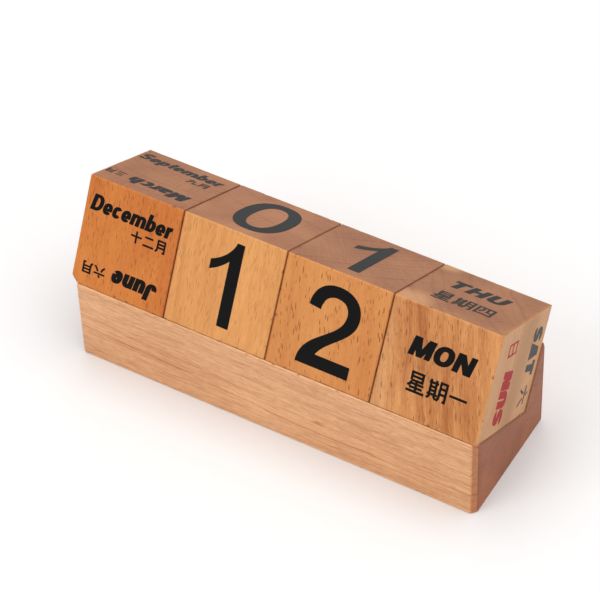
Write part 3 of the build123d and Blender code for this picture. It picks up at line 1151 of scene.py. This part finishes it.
def ink(name, colour, worn, amount=0.12, rough=0.4, spec=0.16):
    """Screen-printed ink: even, faintly mottled, with the fibres showing through as tiny specks."""
    mat = bpy.data.materials.new(name)
    T = Tree(mat)
    tc = T.n("ShaderNodeTexCoord")
    co = T.vmath("SCALE", tc.outputs["Object"], scale=1000.0)
    fine = T.noise(T.vmath("MULTIPLY", co, (4.0, 4.0, 0.8)), 1.0, 3.0, 0.65)
    soft = T.noise(T.vmath("MULTIPLY", co, (0.35, 0.35, 0.2)), 1.0, 2.0)
    speck = T.math("MULTIPLY", T.ramp(fine, 0.60, 0.74), T.ramp(soft, 0.35, 0.65, 0.25, 1.0))
    col = T.mix(T.math("MULTIPLY", speck, amount), colour, worn)
    bs = T.n("ShaderNodeBsdfPrincipled")
    out = T.n("ShaderNodeOutputMaterial")
    T.link(bs.outputs[0], out.inputs[0])
    T.link(col, bs.inputs["Base Color"])
    T.link(T.math("ADD", rough, T.math("MULTIPLY", T.math("SUBTRACT", fine, 0.5), 0.25)), bs.inputs["Roughness"])
    bs.inputs["IOR"].default_value = 1.48
    bs.inputs["Specular IOR Level"].default_value = spec
    bp = T.n("ShaderNodeBump")
    bp.inputs["Strength"].default_value = 0.25
    bp.inputs["Distance"].default_value = 0.00003
    T.link(fine, bp.inputs["Height"])
    T.link(bp.outputs[0], bs.inputs["Normal"])
    return mat


WOOD = {
    "base": beech("beech_base", rgb(242, 184, 134), rgb(206, 142, 94), rgb(174, 99, 54), rgb(138, 70, 33),
                  axis="X", pith=(150.0, -70.0), ring=3.6, offset=(11.0, 3.0, 7.0), tilt=(0, 0, 1.5),
                  cloud=0.4, band=0.3, streak=1.0, late=0.35, fleck=0.40, fleck_size=(0.6, 5.0),
                  fleck_col=(0.40, 0.18, 0.08), wave=6.0, lines=(0.05, 4.0, 0.7),
                  gap_shade_and_bevel_tone=0.8, gap_shade_and_bevel_col=(0.78, 0.56, 0.36), ringline=(-97.0, 12.0, 19.3, 10.9, 0.9),
                  knots=((-81.5, -31.2, 30.5, 0.8), (-57.5, -31.2, 11.5, 1.0), (30.0, 31.2, 18.0, 0.9), (61.0, -31.2, 36.0, 0.5)),
                  stains=(((97.5, 29.0, 47.0), 8.0, rgb(168, 70, 20), 0.85), ((97.5, -8.0, 20.0), 20.0, rgb(146, 80, 46), 0.4))),
    "month": beech("beech_month", rgb(218, 131, 56), rgb(192, 99, 32), rgb(176, 118, 78), rgb(144, 88, 56),
                   pith=(34.0, 170.0), ring=5.0, offset=(3.0, 9.0, 31.0), tilt=(6, 3, 0),
                   cloud=0.8, band=0.35, streak=0.4, late=0.5, fleck=0.80, fleck_size=(0.56, 5.0),
                   fleck_col=(0.22, 0.055, 0.012)),
    "tens": beech("beech_tens", rgb(236, 168, 99), rgb(211, 138, 73), rgb(184, 124, 84), rgb(150, 94, 60),
                  pith=(76.0, 166.0), ring=2.6, offset=(71.0, 29.0, 3.0), tilt=(0, 1.5, 0),
                  cloud=0.4, band=0.45, streak=0.55, late=0.25, fleck=0.62, fleck_size=(0.42, 5.4),
                  fleck_col=(0.34, 0.13, 0.035)),
    "units": beech("beech_units", rgb(225, 152, 84), rgb(204, 125, 61), rgb(177, 119, 80), rgb(144, 89, 57),
                   pith=(-95.0, 165.0), ring=3.4, offset=(19.0, 51.0, 13.0), tilt=(0, 7, 0),
                   cloud=0.45, band=0.3, streak=0.4, late=0.2, fleck=0.95, fleck_size=(0.56, 5.0),
                   fleck_col=(0.22, 0.06, 0.015)),
    "weekday": beech("beech_weekday", rgb(225, 156, 93), rgb(176, 102, 48), rgb(178, 121, 80), rgb(144, 90, 57),
                     pith=(127.0, 89.0), ring=4.4, offset=(5.0, 23.0, 47.0), tilt=(0, 13, 0),
                     cloud=0.65, band=0.65, streak=0.6, late=0.35, fleck=0.8, fleck_size=(0.56, 4.8),
                     fleck_col=(0.24, 0.07, 0.02), wave=9.0,
                     sap=[(0, 14.0, 4.0, rgb(228, 170, 116), 0.6)], side=(rgb(210, 154, 99), 0.92, 0.3, 0.85, rgb(178, 122, 65)),
                     stains=(((6.0, 2.0, 50.0), 14.0, rgb(216, 160, 110), 0.6), ((2.0, 49.0, 50.0), 9.0, rgb(216, 160, 110), 0.6))),
}
BLACK = ink("black_ink", rgb(8, 8, 8), rgb(80, 52, 36), 0.08, 0.33, 0.17)
RED = ink("red_ink", rgb(172, 30, 30), rgb(206, 130, 96), 0.30, 0.5, 0.15)


# =====================================================================
# build
# =====================================================================
def block_matrix(corner):
    m = Matrix((Vector((1, 0, 0)), U, V)).transposed().to_4x4()
    m.translation = corner * MM
    return m


EX, EY, EZ = Vector((1, 0, 0)), Vector((0, 1, 0)), Vector((0, 0, 1))


def face_frames(w, d, h):
    """Origin, reading direction and up direction of each face, in the block's own mm."""
    return {
        "front": (Vector((0, 0, 0)), EX, EZ),
        "top": (Vector((0, 0, h)), EX, EY),
        "back": (Vector((0, d, h)), EX, -EZ),
        "bottom": (Vector((0, d, 0)), EX, -EY),
        "right": (Vector((w, 0, 0)), EY, EZ),
        "left": (Vector((0, d, 0)), -EY, EZ),
    }


def month_marks(upper, upper_sign, lower, lower_sign, w, spans=None):
    """Two month names on one face: one upright at the top, the other turned half round at the bottom."""
    s = spans or {}
    out = []
    sh, ww = word_shapes(upper, a=0.345, b=0.205, xh=0.70)
    x0, x1, y0, hh = s.get("upper", (2.9, 43.4, 35.2, 7.1))
    out += placed(sh, ww, x0, x1, y0, hh, shear=0.2)
    sg, gw = sign_shapes(upper_sign, 0.155)
    x0, x1, y0, hh = s.get("upper_sign", (w - 4.8 - 5.85 * len(upper_sign), w - 4.8, 27.3, 5.7))
    out += placed(sg, gw, x0, x1, y0, hh)
    box = (w, CUBE)
    sh, ww = word_shapes(lower, a=0.37, b=0.235, xh=0.74)
    x0, x1, y0, hh = s.get("lower", (4.9, 27.5, 37.6, 7.9))
    out += placed(sh, ww, x0, x1, y0, hh, shear=0.2, flip=True, box=box)
    sg, gw = sign_shapes(lower_sign, 0.155)
    x0, x1, y0, hh = s.get("lower_sign", (30.7, 42.3, 38.6, 5.3))
    out += placed(sg, gw, x0, x1, y0, hh, flip=True, box=box)
    return out


def month_spans(upper, n_up, lower, n_low, w=46.8):
    """Natural places for names of different lengths: left-set upper name, its sign below right; lower name and its sign in line."""
    _, wu = word_shapes(upper)
    _, wl = word_shapes(lower)
    run_u = min(40.5, wu * 7.1 * 0.86 + 1.4)
    run_l = min(27.5, wl * 7.9 * 0.86 + 1.4)
    return {
        "upper": (2.9, 2.9 + run_u, 35.2, 7.1),
        "upper_sign": (w - 4.8 - 5.85 * n_up, w - 4.8, 27.3, 5.7),
        "lower": (4.9, 4.9 + run_l, 37.6, 7.9),
        "lower_sign": (w - 4.2 - 5.8 * n_low, w - 4.2, 38.6, 5.3) if run_l < 25 else (w - 2.6 - 4.7 * n_low, w - 2.6, 38.8, 4.4),
    }


def digit_mark(ch, x0=None, y0=5.6, hh=38.6):
    w, sh = digit(ch)
    wd = w * hh
    if x0 is None:
        x0 = (CUBE - wd) / 2 + (1.2 if ch not in "1" else -0.6)
    return placed([sh], w, x0, x0 + wd, y0, hh)


def weekday_mark(word, sign, x0=11.2, x1=41.9, y0=27.4, hh=8.9, sx0=13.8, sx1=41.9, sy=12.2, sh=8.9, gap=0.07):
    s, w = word_shapes(word, a=0.355, b=0.25, gap=gap)
    out = placed(s, w, x0, x1, y0, hh, shear=0.22)
    g, gw = sign_shapes(sign, 0.128, 1.08)
    out += placed(g, gw, sx0, sx1, sy, sh)
    return out


M = {i: s for i, s in enumerate(["", "一", "二", "三", "四", "五", "六", "七", "八", "九", "十", "十一", "十二"])}
NAMES = ["", "January", "February", "March", "April", "May", "June", "July", "August", "September", "October", "November", "December"]


def month_face(up, low, spans=None):
    return (NAMES[up], M[up] + "月", NAMES[low], M[low] + "月", spans)


made = {}
for key, node in BLOCKS.items():
    corner, width = seat(node)
    size = (width, CUBE, CUBE)
    seed = {"month": 1, "tens": 2, "units": 3, "weekday": 4}[key]
    ob = rounded_block(node + "_wood", size, seed, clip=(3.4, 4.4, 3.1) if key == "month" else None,
                       free={"month": False, "weekday": True}.get(key))
    ob.matrix_world = block_matrix(corner)
    ob.data.materials.append(WOOD[key])
    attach(ob, key)
    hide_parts(node)
    made[key] = (ob, corner, size)


def print_on(key, spec, suffix, mat):
    _, corner, size = made[key]
    frames = face_frames(*size)
    faces = []
    for face, shapes in spec:
        o, ax, ay = frames[face] if isinstance(face, str) else face
        faces.append((o, ax, ay, shapes))
    ob = film(faces, BLOCKS[key] + suffix)
    ob.matrix_world = block_matrix(corner)
    ob.data.materials.append(mat)
    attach(ob, key)
    return ob


mw = made["month"][2][0]
month_faces = {
    "front": month_face(12, 6, {"upper": (2.5, 43.9, 34.9, 7.6), "upper_sign": (24.1, 42.3, 27.4, 5.8),
                                "lower": (4.9, 28.8, 37.3, 8.2), "lower_sign": (31.0, 43.2, 38.6, 5.4)}),
    "top": month_face(9, 3, {"upper": (0.9, 43.0, 37.4, 7.3), "upper_sign": (29.2, 40.2, 30.0, 5.3),
                             "lower": (4.9, 35.0, 34.9, 8.0), "lower_sign": (36.9, 46.3, 35.4, 5.3)}),
    "back": month_face(11, 5),
    "bottom": month_face(10, 4),
    "right": month_face(2, 8),
    "left": month_face(1, 7),
}
spec = []
for face, (u, us, l, ls, spans) in month_faces.items():
    fw = mw if face in ("front", "top", "back", "bottom") else CUBE
    if spans is None:
        spans = month_spans(u, len(us), l, len(ls), fw)
    spec.append((face, month_marks(u, us, l, ls, fw, spans)))
print_on("month", spec, "_print", BLACK)

print_on("tens", [
    ("front", digit_mark("1", 16.25, 6.2, 38.8)), ("top", digit_mark("0", 14.0, 6.0, 38.4)), ("back", digit_mark("5")),
    ("bottom", digit_mark("4")), ("right", digit_mark("2")), ("left", digit_mark("3"))], "_print", BLACK)
print_on("units", [
    ("front", digit_mark("2", 13.3, 5.3, 38.3)), ("top", digit_mark("1", 15.9, 6.0, 38.8)), ("back", digit_mark("0")),
    ("bottom", digit_mark("8")), ("right", digit_mark("6")), ("left", digit_mark("7"))], "_print", BLACK)

week = "星期"
sat, satw = word_shapes("SAT", a=0.43, b=0.29, gap=0.03)
sun, sunw = word_shapes("SUN", a=0.44, b=0.30, gap=0.03)
liu, liuw = sign_shapes("六", 0.12)
ri, riw = sign_shapes("日", 0.11)
# reading downwards, letter tops to the back
down = (Vector((CUBE, 0, CUBE)), -EZ, EY)
# reading upwards, letter tops to the front
upward = (Vector((CUBE, CUBE, 0)), EZ, -EY)
print_on("weekday", [
    ("front", weekday_mark("MON", week + "一")),
    ("top", weekday_mark("THU", week + "四", 10.0, 37.7, 28.2, 9.1, 10.3, 37.9, 12.0, 9.3, 0.13)),
    ("back", weekday_mark("TUE", week + "二", 12.4, 38.0)),
    ("bottom", weekday_mark("WED", week + "三", 10.5, 41.0)),
    ("left", weekday_mark("FRI", week + "五", 13.5, 36.0)),
    (down, placed(sat, satw, 6.6, 31.0, 36.8, 9.3, shear=0.2) + placed(liu, liuw, 35.0, 44.6, 37.6, 9.2)),
], "_print", BLACK)
print_on("weekday", [
    (upward, placed(sun, sunw, 3.2, 30.2, 28.2, 9.6, shear=0.2) + placed(ri, riw, 35.8, 43.9, 30.4, 9.4)),
], "_print_red", RED)

base = base_block("base_block_wood")
base.data.materials.append(WOOD["base"])
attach(base, "base")
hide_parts("base_block")


# =====================================================================
# floor and light
# =====================================================================
def floor():
    bm = bmesh.new()
    bmesh.ops.create_grid(bm, x_segments=8, y_segments=8, size=6.0)
    me = bpy.data.meshes.new("floor")
    bm.to_mesh(me)
    bm.free()
    ob = bpy.data.objects.new("floor", me)
    ob.location = (0, 0, 0)
    scene.collection.objects.link(ob)
    mat = bpy.data.materials.new("pale_floor")
    T = Tree(mat)
    bs = T.n("ShaderNodeBsdfPrincipled")
    out = T.n("ShaderNodeOutputMaterial")
    T.link(bs.outputs[0], out.inputs[0])
    bs.inputs["Base Color"].default_value = (0.9, 0.9, 0.9, 1)
    bs.inputs["Roughness"].default_value = 0.9
    bs.inputs["Specular IOR Level"].default_value = 0.1
    ob.data.materials.append(mat)


floor()


def area(name, loc, target, size, power, colour=(1, 1, 1)):
    data = bpy.data.lights.new(name, "AREA")
    data.shape = "RECTANGLE"
    data.size, data.size_y = size
    data.energy = power
    data.color = colour
    ob = bpy.data.objects.new(name, data)
    ob.location = loc
    ob.rotation_mode = "QUATERNION"
    ob.rotation_quaternion = (Vector(target) - Vector(loc)).to_track_quat("-Z", "Y")
    scene.collection.objects.link(ob)
    return ob


area("key", (-0.55, -1.15, 1.25), (0, 0, 0.04), (1.0, 0.9), 8.0)
area("fill", (1.3, -0.5, 0.9), (0, 0, 0.04), (1.0, 1.0), 1.5)
area("over", (0.1, 0.25, 1.75), (0, 0.0, 0.0), (2.2, 2.0), 25.0)

world = bpy.data.worlds.new("studio")
scene.world = world
world.use_nodes = True
bg = world.node_tree.nodes["Background"]
bg.inputs[0].default_value = (1.0, 1.0, 1.0, 1)
bg.inputs[1].default_value = 0.42

scene.view_settings.view_transform = "Standard"
scene.view_settings.look = "None"
scene.view_settings.exposure = 0.0
